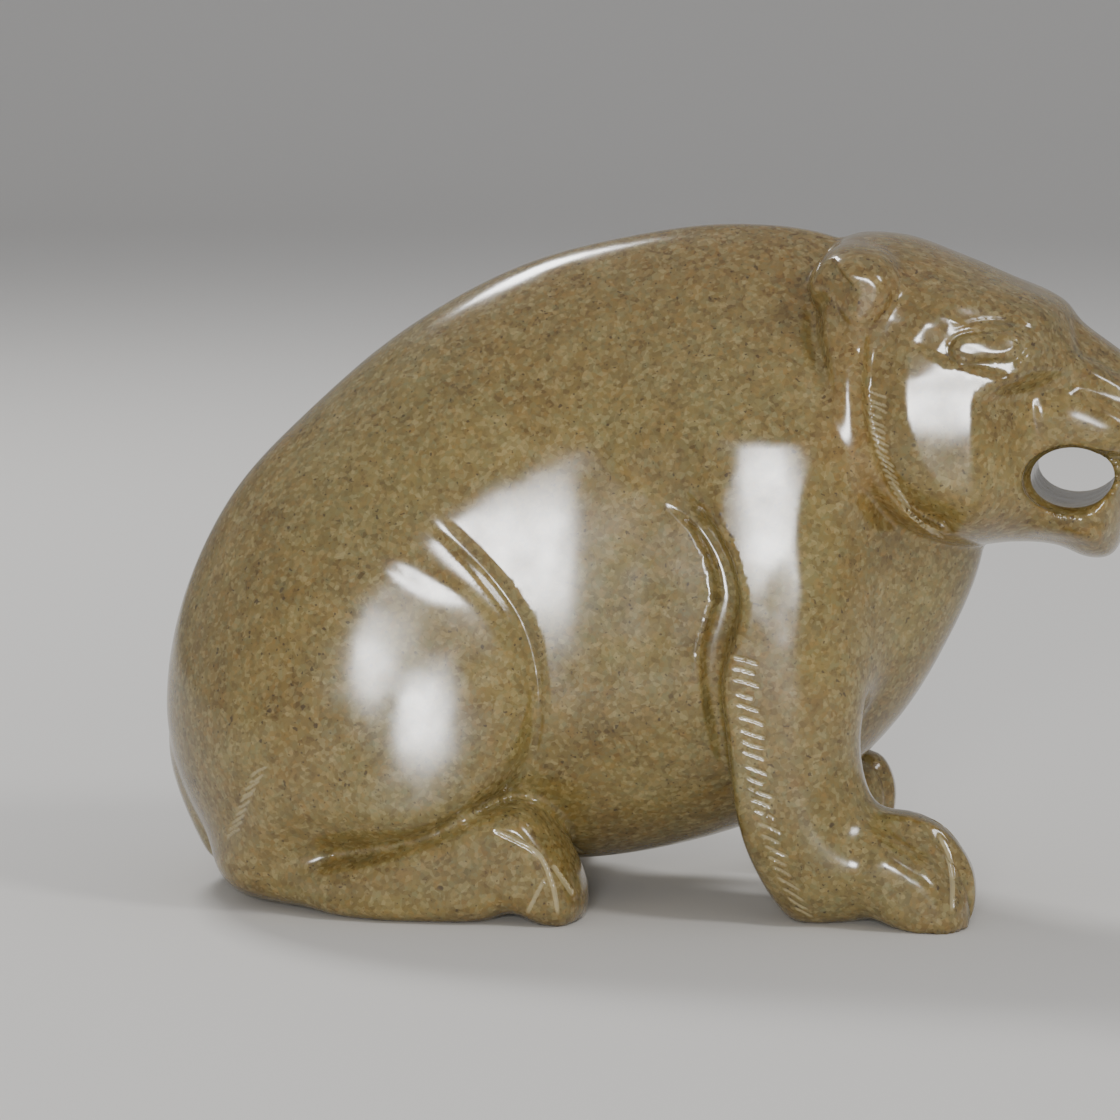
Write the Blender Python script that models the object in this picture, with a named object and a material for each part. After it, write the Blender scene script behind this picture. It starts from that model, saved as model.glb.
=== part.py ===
"""A crouching bear carved in the round from one pebble of brown jade.

The bear faces +X and stands on its four feet at z = 0. It is one solid. Its body is a set of forms,
each an outline in the side view that is swelled to its own width, and the forms run into each other.
Sizes are shares of the bear's length, written as millimetres on a bear of the nominal length.
"""

import bmesh
import bpy
import numpy as np

BEAR_LENGTH = 0.083  # rump to nose, in metres
NOMINAL_LENGTH = 83.0  # the length that the shares below are written for
UNIT = BEAR_LENGTH / NOMINAL_LENGTH

LATTICE_STEP = 0.4  # spacing of the lattice that holds each outline's distances
LATTICE_MARGIN = 9.0
CURVE_STEPS = 6  # points of a curve between two of its own points
BLOCK_STEP = 1.0  # spacing of the rough block's skin
SKIN_STEP = 0.6  # spacing of the even skin
SOLID_TRIANGLES = 9700
SOLE_BAND = 0.12  # the skin this close to the ground is ground flat
MIDDLE_X = -1.91  # the middle of the bear's length, in the outlines' own x

JADE_COLOUR = (0.33, 0.24, 0.12, 1.0)
JADE_ROUGHNESS = 0.18


def through(points, closed, steps=CURVE_STEPS):
    """A smooth curve through points, as a polyline with steps points in each span."""
    p = np.array(points, float)
    count = len(p)
    spans = count if closed else count - 1
    at = np.arange(spans)
    if closed:
        index = [(at + shift) % count for shift in (-1, 0, 1, 2)]
    else:
        index = [np.clip(at + shift, 0, count - 1) for shift in (-1, 0, 1, 2)]
    before, start, end, after = (p[i][:, None, :] for i in index)
    t = (np.arange(steps) / steps)[None, :, None]
    curve = 0.5 * (
        2 * start
        + (end - before) * t
        + (2 * before - 5 * start + 4 * end - after) * t**2
        + (3 * start - before - 3 * end + after) * t**3
    )
    curve = curve.reshape(-1, p.shape[1])
    return curve if closed else np.vstack([curve, p[-1]])


def distance_to(curve, x, z, closed=False):
    """Distance of each point to a polyline in the side view, and how far along it the nearest place is."""
    nearest = np.full(x.shape, np.inf)
    along = np.zeros(x.shape)
    ends = np.roll(curve, -1, axis=0) if closed else curve[1:]
    starts = curve if closed else curve[:-1]
    for i, (a, b) in enumerate(zip(starts, ends)):
        run = b - a
        t = ((x - a[0]) * run[0] + (z - a[1]) * run[1]) / max(run @ run, 1e-12)
        t = np.clip(t, 0, 1)
        gap = np.hypot(x - a[0] - t * run[0], z - a[1] - t * run[1])
        closer = gap < nearest
        nearest = np.where(closer, gap, nearest)
        along = np.where(closer, (i + t) / len(starts), along)
    return nearest, along


def left_of(curve, x, z):
    """Whether each point lies to the left of the nearest stretch of a polyline, as 1 or -1."""
    nearest = np.full(x.shape, np.inf)
    left = np.ones(x.shape)
    for a, b in zip(curve[:-1], curve[1:]):
        run = b - a
        t = np.clip(((x - a[0]) * run[0] + (z - a[1]) * run[1]) / max(run @ run, 1e-12), 0, 1)
        gap = np.hypot(x - a[0] - t * run[0], z - a[1] - t * run[1])
        turn = run[0] * (z - a[1]) - run[1] * (x - a[0])
        closer = gap < nearest - 1e-9
        nearest = np.where(closer, gap, nearest)
        left = np.where(closer, np.where(turn > 0, 1.0, -1.0), left)
    return left


def is_inside(curve, x, z):
    """Whether each point lies inside a closed polyline."""
    inside = np.zeros(x.shape, bool)
    for a, b in zip(curve, np.roll(curve, -1, axis=0)):
        if a[1] == b[1]:
            continue
        crosses = (a[1] > z) != (b[1] > z)
        inside ^= crosses & (x < (b[0] - a[0]) * (z - a[1]) / (b[1] - a[1]) + a[0])
    return inside


def blurred(grid, passes):
    """The grid after passes of a small blur, each of which spreads it by 0.7 of a cell."""
    for _ in range(passes):
        for axis in (0, 1):
            first = np.take(grid, [0], axis)
            last = np.take(grid, [-1], axis)
            wide = np.concatenate([first, grid, last], axis)
            size = grid.shape[axis]
            parts = [np.take(wide, np.arange(k, k + size), axis) for k in range(3)]
            grid = (parts[0] + 2 * parts[1] + parts[2]) / 4
    return grid


class Outline:
    """A closed curve in the side view, with the distance to it on a lattice, negative inside."""

    def __init__(self, points, soften=0.0):
        self.curve = through(points, closed=True)
        self.low = self.curve.min(axis=0) - LATTICE_MARGIN
        high = self.curve.max(axis=0) + LATTICE_MARGIN
        cells = np.ceil((high - self.low) / LATTICE_STEP).astype(int) + 1
        x, z = np.meshgrid(*(self.low[k] + LATTICE_STEP * np.arange(cells[k]) for k in (0, 1)), indexing="ij")
        gap, _ = distance_to(self.curve, x, z, closed=True)
        signed = np.where(is_inside(self.curve, x, z), -gap, gap)
        self.lattice = blurred(signed, round(2 * (soften / LATTICE_STEP) ** 2))

    def distance(self, x, z):
        """The signed distance at each point, smooth between the lattice's places."""
        x, z = np.broadcast_arrays(x, z)
        shape = np.array(self.lattice.shape)
        total = np.zeros(x.shape)
        cell, weights = [], []
        for k, value in enumerate((x, z)):
            place = np.clip((value - self.low[k]) / LATTICE_STEP, 1.001, shape[k] - 2.001)
            whole = np.floor(place).astype(int)
            t = place - whole
            cell.append(whole)
            weights.append(((1 - t) ** 3, 3 * t**3 - 6 * t**2 + 4, -3 * t**3 + 3 * t**2 + 3 * t + 1, t**3))
        for i in range(4):
            for j in range(4):
                value = self.lattice[cell[0] + i - 1, cell[1] + j - 1]
                total += weights[0][i] * weights[1][j] * value / 36
        return total


class Profile:
    """A width that changes smoothly along the bear, from values at a few stations."""

    def __init__(self, stations, values, soften=3.0):
        self.fine = np.arange(stations[0] - 8.0, stations[-1] + 8.0, 0.25)
        width = int(soften / 0.25) | 1
        window = np.hanning(width + 2)[1:-1]
        padded = np.pad(np.interp(self.fine, stations, values), width // 2, mode="edge")
        self.values = np.convolve(padded, window / window.sum(), mode="valid")

    def at(self, x):
        """The width at each place along the bear."""
        return np.interp(x, self.fine, self.values)


def swelled(side, across, half_width, rim):
    """Field of a form: side is the distance to its outline, across that to its middle plane.

    The form is flat in the middle, and its edge is rounded over the distance rim.
    """
    edge = 1 - np.minimum(-side / rim, 1)
    flank = np.abs(across) / half_width
    level = np.hypot(edge, flank) + 1e-9
    reach = level / (np.hypot(edge / rim, flank / half_width) + 1e-9)
    return (level - 1) * reach


def joined(a, b, blend):
    """Two fields run into each other, over the distance blend."""
    h = np.clip(0.5 + 0.5 * (b - a) / blend, 0, 1)
    return b + (a - b) * h - blend * h * (1 - h)


def ramp(value, start, end):
    """0 before start, 1 after end, smooth between."""
    t = np.clip((value - start) / (end - start), 0, 1)
    return t * t * (3 - 2 * t)


TORSO = [
    (-38.2, 3.8), (-41.6, 10.0), (-42.4, 16.0), (-40.5, 24.2), (-36.4, 33.0), (-31.5, 39.3), (-23.8, 46.0),
    (-13.2, 51.8), (-0.8, 54.7), (5.0, 55.0), (11.0, 54.4), (17.0, 51.4), (22.0, 44.0), (24.3, 35.0),
    (24.2, 28.6), (22.3, 23.3), (17.2, 14.4), (9.0, 7.4), (-4.0, 3.2), (-16.0, 2.4), (-28.0, 2.4),
]
HEAD = [
    (12.2, 53.7), (17.1, 54.3), (22.0, 52.7), (26.8, 50.7), (30.4, 49.1), (31.9, 47.3), (34.9, 45.1),
    (37.4, 43.1), (39.2, 40.8), (39.5, 38.4), (38.4, 36.6), (36.0, 35.6), (35.8, 32.0), (34.8, 28.7),
    (32.6, 28.3), (30.0, 29.3), (26.4, 29.5), (21.8, 29.1), (17.4, 30.4), (14.2, 34.0), (12.0, 38.6),
    (11.2, 44.0), (10.8, 48.5),
]
ARM = [
    (14.6, 44.2), (17.0, 38.6), (15.6, 32.4), (15.9, 26.4), (15.6, 19.0), (15.1, 13.6), (16.4, 9.4),
    (19.6, 8.6), (22.2, 7.2), (24.2, 4.2), (24.3, 1.0), (23.0, -0.7), (20.8, -0.3), (18.4, 0.6), (14.6, -0.1),
    (10.6, -0.4), (8.4, 1.4), (6.6, 4.8), (5.3, 9.0), (4.6, 14.6), (4.1, 20.0), (5.4, 25.2), (4.9, 28.8),
    (3.2, 32.0), (0.2, 34.6), (-3.4, 37.6), (-3.0, 41.6), (4.0, 44.8),
]
FAR_ARM = [
    (14.0, 44.0), (16.0, 37.4), (14.6, 28.0), (13.0, 18.0), (12.0, 12.4), (13.4, 10.4), (15.2, 9.6),
    (16.3, 7.0), (15.9, 3.6), (14.9, 0.2), (13.4, -0.6), (10.6, 0.2), (8.4, -0.4), (6.8, 1.4), (5.8, 5.4),
    (4.6, 11.0), (3.8, 18.0), (4.8, 24.8), (4.2, 29.0), (0.8, 33.6), (-3.4, 37.6), (-3.0, 41.6), (4.0, 44.8),
]
HAUNCH = [
    (-20.4, 34.4), (-16.2, 30.8), (-12.4, 27.2), (-9.7, 23.0), (-8.6, 18.6), (-9.4, 13.8), (-12.0, 9.6),
    (-17.0, 6.2), (-24.0, 3.6), (-31.0, 1.4), (-36.2, 2.0), (-38.0, 6.0), (-41.0, 14.0), (-40.0, 24.0),
    (-35.0, 33.0), (-27.0, 37.0),
]
HIND_FOOT = [
    (-30.0, 4.6), (-24.0, 5.6), (-18.6, 7.6), (-14.6, 9.3), (-11.2, 9.6), (-8.9, 7.4), (-7.2, 4.4),
    (-6.5, 1.4), (-7.6, -0.7), (-10.0, -0.5), (-12.4, 0.5), (-15.4, -0.4), (-24.0, -0.5), (-30.0, 0.2),
    (-35.0, 1.2), (-36.6, 3.2), (-34.6, 5.0),
]
TAIL = [
    (-41.8, 16.2), (-43.1, 13.6), (-43.3, 10.2), (-42.0, 6.0), (-39.9, 2.0), (-38.4, 2.2), (-38.0, 5.0),
    (-38.6, 11.0), (-39.6, 15.6),
]
EAR = [
    (10.6, 49.4), (10.5, 51.4), (12.0, 53.4), (14.4, 53.9), (17.0, 53.2), (18.4, 51.4), (18.2, 49.0),
    (16.6, 46.8), (14.0, 45.6), (12.2, 47.0),
]

# Half widths, each with how far its edge is rounded, and what sets a form's place across the bear.
TORSO_WIDTH = Profile(
    (-44, -34, -24, -16, -8, 0, 6, 12, 18, 25),
    (14.6, 16.6, 17.2, 16.4, 15.3, 15.4, 15.6, 14.6, 12.2, 10.2),
    8.0,
)
TORSO_RIM = 15.5
TORSO_HEIGHT = 15.0  # the height of the trunk's widest place
TORSO_CURVE = 0.00026  # how fast the trunk narrows up and down from there
TORSO_LEAN = 0.05  # how much wider the trunk is low down than at half its height, as a share
HAUNCH_INSET = 5.0  # a haunch's outline is swelled from this far off the middle plane
HAUNCH_WIDTH = 15.1
HAUNCH_CENTRE = (-24.0, 4.1)  # the haunch's widest place in the side view
HAUNCH_CURVE = (0.013, 0.007)  # how fast it narrows from there, lengthways and upwards
HAUNCH_RIM = 3.4
HEAD_WIDTH = Profile(
    (11, 14, 17.5, 21, 24.5, 26.5, 28.5, 31, 36, 40),
    (13.1, 13.2, 13.2, 13.1, 12.8, 10.8, 8.9, 8.3, 8.0, 7.7),
    2.0,
)
HEAD_RIM = Profile((11, 14, 17, 20, 26, 31, 40), (1.6, 2.2, 4.6, 5.4, 5.4, 4.4, 3.8))
CHEEK_HEIGHT = 36.0  # the height of the cheek's widest place
BROW_REACH = 3.5  # how much further forward the head is wide at the eyes than at the cheeks
CHEEK_REACH = 6.0  # how far up from there the head narrows faster and faster
CHEEK_CURVE = 0.011
EAR_MIDDLE = 6.6
EAR_WIDTH = 6.0
EAR_RIM = 2.3
FAR_EAR_DROP = 1.0
LEG_MIDDLE = 11.2
LEG_WIDTH = 5.9
LEG_LEAN = 0.0055  # how fast a front leg leans in above the elbow
LEG_TURN = 0.01  # how fast its outer face turns forwards
PAW_TIPS = (24.2, 16.2)  # how far forward the right paw and the left paw reach
TOE_FURROWS = (9.3, 13.0)
TOE_FURROW_WIDTH = 0.9
TOE_FURROW_DEPTH = 0.9
OUTER_TOE_DROP = 1.7  # how much lower the outer toe of a front paw is than the others
FOOT_SPLAY = Profile((-36, -31, -27, -22, -8), (8.4, 10.6, 12.9, 13.8, 13.8))
FOOT_WIDTH = 5.0
FOOT_RIM = 1.9
FAR_FOOT_BACK = 4.5
TAIL_WIDTH = 4.6
TAIL_RIM = 2.0
MOUTH_HOLE = ((31.5, 35.3), (3.3, 2.4))
SLABS = [
    (TORSO, -12, 12), (HEAD, -5, 5), (ARM, -16, -8), (FAR_ARM, 8, 16), (HAUNCH, -16, 16), (TAIL, -2, 2),
    (HIND_FOOT, -16, -8), (HIND_FOOT, 8, 16),
]


class Stroke:
    """A ridge, a furrow or a step along an open curve in the side view, on one face of a form."""

    def __init__(self, points, width, height, fade=0.0, step=False, even=False):
        """A step is crisp at the curve and lies to the left of its run. An even stroke has a flat middle."""
        self.curve = through(points, closed=False)
        self.width, self.height, self.fade = width, height, fade
        self.step, self.even = step, even
        self.low = self.curve.min(axis=0) - width - LATTICE_STEP
        self.high = self.curve.max(axis=0) + width + LATTICE_STEP

    def rise(self, x, z):
        """How far the stroke lifts the surface at each place, negative for a furrow."""
        x, z = np.broadcast_arrays(x, z)
        lift = np.zeros(x.shape)
        near = (x > self.low[0]) & (x < self.high[0]) & (z > self.low[1]) & (z < self.high[1])
        gap, along = distance_to(self.curve, x[near], z[near])
        t = np.clip(gap / self.width, 0, 1)
        bell = 1 - t**4 if self.even else (1 - t**2) ** 2
        if self.step:
            bell = bell * ramp(gap * left_of(self.curve, x[near], z[near]), -0.5, 0.3)
        if self.fade:
            bell = bell * ramp(np.minimum(along, 1 - along), 0, self.fade)
        lift[near] = self.height * bell
        return lift


# From the ruff to the lips: each is the curve, its half width, its height and its fade.
FACE_STROKES = [
    Stroke([(15.6, 48.4), (15.5, 45.0), (15.4, 42.5), (15.7, 39.8), (16.6, 37.0), (18.0, 34.4), (20.0, 32.4),
            (22.6, 31.2)], 3.2, -0.9, 0.1, step=True),
    Stroke([(14.2, 46.4), (13.9, 43.0), (14.4, 39.4), (16.0, 35.6), (18.6, 32.6), (22.0, 30.8)], 1.5, 0.4,
           0.12),
    Stroke([(19.0, 46.6), (20.7, 45.6), (22.6, 44.9), (24.9, 44.4), (27.2, 43.7), (30.8, 43.4)], 3.0, -0.5,
           0.25, step=True, even=True),
    Stroke([(20.0, 49.6), (24.6, 49.8), (28.6, 48.8), (30.4, 47.2)], 1.6, 0.35, 0.2),
    Stroke([(22.3, 45.7), (24.9, 46.15), (27.4, 46.4)], 1.2, 0.5, 0.4, even=True),
    Stroke([(31.4, 48.6), (31.5, 46.8), (31.9, 45.3), (33.5, 44.4), (35.3, 43.3), (38.4, 41.4)], 1.8, -0.5,
           0.06, step=True),
    Stroke([(31.0, 43.2), (34.0, 42.0), (37.6, 40.0)], 1.4, -0.45, 0.2),
    Stroke([(28.4, 40.6), (30.6, 40.8), (33.0, 40.0), (35.6, 38.7), (38.6, 37.7)], 2.4, 0.35, 0.12),
    Stroke([(27.4, 44.0), (27.2, 41.0), (27.6, 37.6), (29.0, 35.0)], 1.8, -0.35, 0.3),
    Stroke([(33.6, 37.2), (36.4, 36.6), (40.6, 36.0)], 0.9, -1.3),
    Stroke([(27.6, 31.5), (31.6, 31.1), (34.6, 30.7)], 1.2, 0.3, 0.2),
]
EAR_BOWL = Stroke([(13.4, 44.6), (12.9, 47.0), (12.6, 49.2), (12.9, 50.8), (13.8, 51.8)], 2.0, -1.1, 0.1)
# The channel behind the front leg, the crease round the haunch, the hind leg's fold and the neck's groove.
BODY_STROKES = [
    Stroke([(-0.4, 34.8), (2.2, 32.8), (4.1, 29.8), (4.8, 27.0), (4.5, 24.8), (3.8, 22.2), (3.8, 19.4),
            (4.3, 16.0), (5.0, 12.6)], 1.5, -0.9, 0.18),
    Stroke([(-19.6, 33.0), (-14.6, 28.2), (-11.5, 23.8), (-10.4, 18.8), (-11.0, 13.8), (-13.2, 10.4)], 1.2,
           -0.5, 0.25),
    Stroke([(-30.6, 16.6), (-33.0, 11.6), (-36.4, 5.6)], 1.3, -0.4, 0.3),
    Stroke([(11.6, 46.6), (11.6, 43.4), (12.1, 40.8), (13.1, 38.2), (14.6, 35.4), (16.8, 32.6)], 1.4, -0.5),
]


class Bear:
    """All forms of the bear, as one field that is negative inside the stone."""

    def __init__(self):
        self.torso = Outline(TORSO, soften=2.2)
        self.head = Outline(HEAD, soften=0.4)
        self.arm = Outline(ARM, soften=0.35)
        self.far_arm = Outline(FAR_ARM, soften=0.35)
        self.haunch = Outline(HAUNCH, soften=0.6)
        self.foot = Outline(HIND_FOOT, soften=0.4)
        self.tail = Outline(TAIL, soften=0.3)
        self.ear = Outline(EAR, soften=0.3)

    def body(self, x, across, z):
        """The trunk with its haunches."""
        lean = 1 + TORSO_LEAN * np.clip((28 - z) / 24, -1, 1) - TORSO_CURVE * (z - TORSO_HEIGHT) ** 2
        trunk = swelled(self.torso.distance(x, z), across, TORSO_WIDTH.at(x) * lean, TORSO_RIM)
        trunk = trunk - ramp(across, 6, 11) * sum(stroke.rise(x, z) for stroke in BODY_STROKES)
        (cx, cz), (lengthways, upwards) = HAUNCH_CENTRE, HAUNCH_CURVE
        dome = HAUNCH_WIDTH - lengthways * (x - cx) ** 2 - upwards * (z - cz) ** 2
        soft = np.maximum(ramp(-x, 18, 34), ramp(z, 25, 37))
        side = self.haunch.distance(x, z)
        thigh = swelled(side, across - HAUNCH_INSET, np.maximum(dome, 5.0), HAUNCH_RIM + 9.0 * soft)
        return joined(trunk, thigh, 0.7 + 5.0 * soft)

    def skull(self, x, across, z):
        """The head with its mouth, without the ears."""
        high = np.maximum(z - CHEEK_HEIGHT - CHEEK_REACH, 0)
        curved = np.clip(z - CHEEK_HEIGHT, -8, CHEEK_REACH) ** 2 + 2 * CHEEK_REACH * high
        width = HEAD_WIDTH.at(x - BROW_REACH * ramp(z, 41.8, 44.8)) - CHEEK_CURVE * curved
        head = swelled(self.head.distance(x, z), across, width, HEAD_RIM.at(x))
        return head - ramp(across, 1.5, 5.0) * sum(stroke.rise(x, z) for stroke in FACE_STROKES)

    def front_legs(self, near, x, across, z):
        """The front legs, whose tops sink into the shoulders. The left one stands further back."""
        tip = np.where(near, PAW_TIPS[0], PAW_TIPS[1])
        low = ramp(-z, -14, -10)
        drop = OUTER_TOE_DROP * ramp(across, 12.6, 14.6) * ramp(x, tip - 9.0, tip - 4.0) * low
        side = np.where(near, self.arm.distance(x, z + drop), self.far_arm.distance(x, z + drop))
        turned = LEG_TURN * np.clip(x - 5, 0, 12) ** 2 * ramp(z, 14, 24)
        middle = LEG_MIDDLE - LEG_LEAN * np.clip(z - 18, 0, 30) ** 2 - turned
        gaps = [(across - place) / TOE_FURROW_WIDTH for place in TOE_FURROWS]
        furrows = sum(np.clip(1 - gap**2, 0, 1) ** 2 for gap in gaps)
        toes = TOE_FURROW_DEPTH * furrows * ramp(x, tip - 5.0, tip - 2.0) * low
        front = np.maximum(ramp(x, 6.0, 10.5), ramp(z, 32, 38))
        rim = 1.4 + 4.0 * front - 2.9 * ramp(x, 15, 18) * low + 2.6 * ramp(z, 36, 42)
        return swelled(side, across - middle, LEG_WIDTH, rim) + toes

    def field(self, x, y, z):
        """The field at each place: about its distance to the surface, in units."""
        across = np.abs(y)
        near = y < 0
        stone = self.body(x, across, z)
        chest = 2.6 * ramp(x, 11.0, 15.0) * ramp(z, 14, 20)
        leg = self.front_legs(near, x, across, z)
        stone = joined(stone, leg, 0.6 + chest + 5.0 * ramp(z, 31, 40))
        foot_side = self.foot.distance(x + np.where(near, 0.0, FAR_FOOT_BACK), z)
        foot = swelled(foot_side, across - FOOT_SPLAY.at(x), FOOT_WIDTH, FOOT_RIM)
        stone = joined(stone, foot, 0.6 + 3.7 * ramp(-x, 25, 31))
        stone = joined(stone, self.skull(x, across, z), 0.6)
        ear_side = self.ear.distance(x, z + np.where(near, 0.0, FAR_EAR_DROP))
        ear = swelled(ear_side, across - EAR_MIDDLE, EAR_WIDTH, EAR_RIM)
        ear = ear - ramp(across, 8, 11) * EAR_BOWL.rise(x, z)
        stone = joined(stone, ear, 0.4 + 1.6 * ramp(-z, -48.5, -46.5))
        stone = joined(stone, swelled(self.tail.distance(x, z), across, TAIL_WIDTH, TAIL_RIM), 1.0)
        (hx, hz), (rx, rz) = MOUTH_HOLE
        hole = (np.hypot((x - hx) / rx, (z - hz) / rz) - 1) * min(rx, rz) - 0.4 * ramp(across, 6.0, 7.6)
        stone = -joined(-stone, hole, 0.4)
        return np.maximum(stone, -z)


def linked(name, mesh):
    """A scene object made from a bmesh, which it frees."""
    data = bpy.data.meshes.new(name)
    mesh.to_mesh(data)
    mesh.free()
    obj = bpy.data.objects.new(name, data)
    bpy.context.scene.collection.objects.link(obj)
    return obj


def evaluated(obj):
    """Gives the object the mesh that its modifiers make, and removes them."""
    graph = bpy.context.evaluated_depsgraph_get()
    mesh = bpy.data.meshes.new_from_object(obj.evaluated_get(graph))
    obj.modifiers.clear()
    obj.data = mesh


def reskinned(obj, step):
    """Gives the object one even closed skin, with the given spacing."""
    skin = obj.modifiers.new("skin", "REMESH")
    skin.mode = "VOXEL"
    skin.voxel_size = step
    evaluated(obj)


def add_slab(mesh, points, low, high):
    """Adds an outline extruded from one side plane to the other."""
    corners = [mesh.verts.new((px, low, pz)) for px, pz in through(points, True, 2)]
    face = mesh.faces.new(corners)
    grown = bmesh.ops.extrude_face_region(mesh, geom=[face])["geom"]
    raised = [v for v in grown if isinstance(v, bmesh.types.BMVert)]
    bmesh.ops.translate(mesh, vec=(0, high - low, 0), verts=raised)


def rough_block():
    """The rough stone: the outlines sawn out as slabs, joined, with the mouth drilled through."""
    mesh = bmesh.new()
    for points, low, high in SLABS:
        add_slab(mesh, points, low, high)
    bmesh.ops.recalc_face_normals(mesh, faces=mesh.faces)
    block = linked("jade_bear", mesh)
    reskinned(block, BLOCK_STEP)

    mesh = bmesh.new()
    bmesh.ops.create_cone(mesh, cap_ends=True, segments=24, radius1=1, radius2=1, depth=40)
    (hx, hz), (rx, rz) = MOUTH_HOLE
    for v in mesh.verts:
        v.co = (hx + v.co.x * rx, -v.co.z, hz + v.co.y * rz)
    bmesh.ops.recalc_face_normals(mesh, faces=mesh.faces)
    drill = linked("drill", mesh)
    drill.hide_render = True
    drill.display_type = "WIRE"
    cut = block.modifiers.new("mouth", "BOOLEAN")
    cut.operation = "DIFFERENCE"
    cut.object = drill
    evaluated(block)
    bpy.data.objects.remove(drill)
    reskinned(block, BLOCK_STEP)
    return block


def slopes(field, points, reach=0.05):
    """The field's value at each point, and its gradient."""
    value = field(*points.T)
    gradient = np.empty_like(points)
    for axis in range(3):
        moved = points.copy()
        moved[:, axis] += reach
        gradient[:, axis] = (field(*moved.T) - value) / reach
    return value, gradient


def drawn_on(field, points, rounds):
    """The points moved onto the surface, each along the field's own gradient."""
    for _ in range(rounds):
        value, gradient = slopes(field, points)
        square = np.maximum((gradient**2).sum(axis=1), 0.09)
        points = points - gradient * (np.clip(value, -1.0, 1.0) / square)[:, None]
    return points


def evened(points, edges, share):
    """Each point moved by a share of the way to the mean of its neighbours."""
    total = np.zeros_like(points)
    count = np.zeros(len(points))
    for one, other in (edges.T, edges.T[::-1]):
        for axis in range(3):
            total[:, axis] += np.bincount(one, points[other, axis], len(points))
        count += np.bincount(one, minlength=len(points))
    return points + share * (total / count[:, None] - points)


def carve(obj, field, shares):
    """Moves the object's skin onto the field's surface. Each share evens it out once on the way."""
    mesh = obj.data
    points = np.empty(len(mesh.vertices) * 3, np.float32)
    mesh.vertices.foreach_get("co", points)
    points = drawn_on(field, points.reshape(-1, 3).astype(float), 2)
    edges = np.empty(len(mesh.edges) * 2, np.int32)
    mesh.edges.foreach_get("vertices", edges)
    edges = edges.reshape(-1, 2)
    for share in shares:
        points = drawn_on(field, evened(points, edges, share), 2)
    points[:, 2] = np.maximum(points[:, 2], 0)
    mesh.vertices.foreach_set("co", points.astype(np.float32).ravel())
    mesh.update()


def coarsened(obj, triangles):
    """Leaves the object the wanted number of triangles, most of them on its face, ears and feet."""
    plain = obj.vertex_groups.new(name="plain")
    for v in obj.data.vertices:
        carving = max(1 if v.co.x > 10 and v.co.z > 28 else 0, 1 if v.co.z < 10 else 0)
        plain.add([v.index], 0.6 if carving else 1.0, "REPLACE")
    thin = obj.modifiers.new("coarser", "DECIMATE")
    thin.vertex_group = "plain"
    thin.vertex_group_factor = 1.0
    thin.ratio = triangles / (2 * len(obj.data.polygons))
    thin.use_collapse_triangulate = True
    evaluated(obj)
    obj.vertex_groups.clear()


def jade():
    """The polished brown jade."""
    material = bpy.data.materials.new("jade")
    material.use_nodes = True
    shader = material.node_tree.nodes["Principled BSDF"]
    shader.inputs["Base Color"].default_value = JADE_COLOUR
    shader.inputs["Roughness"].default_value = JADE_ROUGHNESS
    return material


def main():
    for obj in list(bpy.data.objects):
        bpy.data.objects.remove(obj)
    form = Bear()
    bear = rough_block()
    carve(bear, form.field, [0.6] * 8)
    reskinned(bear, SKIN_STEP)
    carve(bear, form.field, [0.6, 0.5, 0.3])
    coarsened(bear, SOLID_TRIANGLES)
    for v in bear.data.vertices:
        level = v.co.z if v.co.z > SOLE_BAND else 0.0
        v.co = ((v.co.x - MIDDLE_X) * UNIT, v.co.y * UNIT, level * UNIT)
    bear.data.materials.append(jade())


main()
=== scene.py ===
"""The polished jade bear: its carved surface, its stone, and the studio it stands in.

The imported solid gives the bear's form. Here its skin is drawn again, finer, over the same set of forms,
and the furrows, lids, toes and hair strokes are cut into it.
"""

import logging
import math
from collections.abc import Callable, Sequence
from dataclasses import dataclass, field
from enum import Enum

import bmesh
import bpy
import numpy as np
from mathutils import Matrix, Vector

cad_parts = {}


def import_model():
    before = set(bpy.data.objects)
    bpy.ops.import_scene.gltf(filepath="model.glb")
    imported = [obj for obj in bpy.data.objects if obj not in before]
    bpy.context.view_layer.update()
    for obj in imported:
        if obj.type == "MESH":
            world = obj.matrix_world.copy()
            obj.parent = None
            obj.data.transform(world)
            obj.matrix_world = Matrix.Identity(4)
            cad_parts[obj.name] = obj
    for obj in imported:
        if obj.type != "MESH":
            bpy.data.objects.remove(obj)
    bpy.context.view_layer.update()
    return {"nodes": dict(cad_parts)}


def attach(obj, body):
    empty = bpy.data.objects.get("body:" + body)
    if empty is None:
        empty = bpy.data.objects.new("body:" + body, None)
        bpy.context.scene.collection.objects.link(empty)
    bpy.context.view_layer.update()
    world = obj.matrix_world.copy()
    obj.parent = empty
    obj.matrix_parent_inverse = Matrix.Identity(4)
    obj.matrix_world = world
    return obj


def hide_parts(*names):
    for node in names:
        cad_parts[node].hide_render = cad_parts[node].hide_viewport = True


LOG = logging.getLogger("jade_bear")

BEAR_LENGTH = 0.083  # rump to nose, in metres
NOMINAL_LENGTH = 83.0  # the length that the shares below are written for
UNIT = BEAR_LENGTH / NOMINAL_LENGTH
MIDDLE_X = -1.91  # the middle of the bear's length, in the outlines' own x

LATTICE_STEP = 0.3  # spacing of the lattice that holds each outline's distances
LATTICE_MARGIN = 9.0
CURVE_STEPS = 6  # points of a curve between two of its own points
STEP_EDGE = (-0.42, 0.2)  # where a step's edge starts and ends, across its curve

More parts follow.
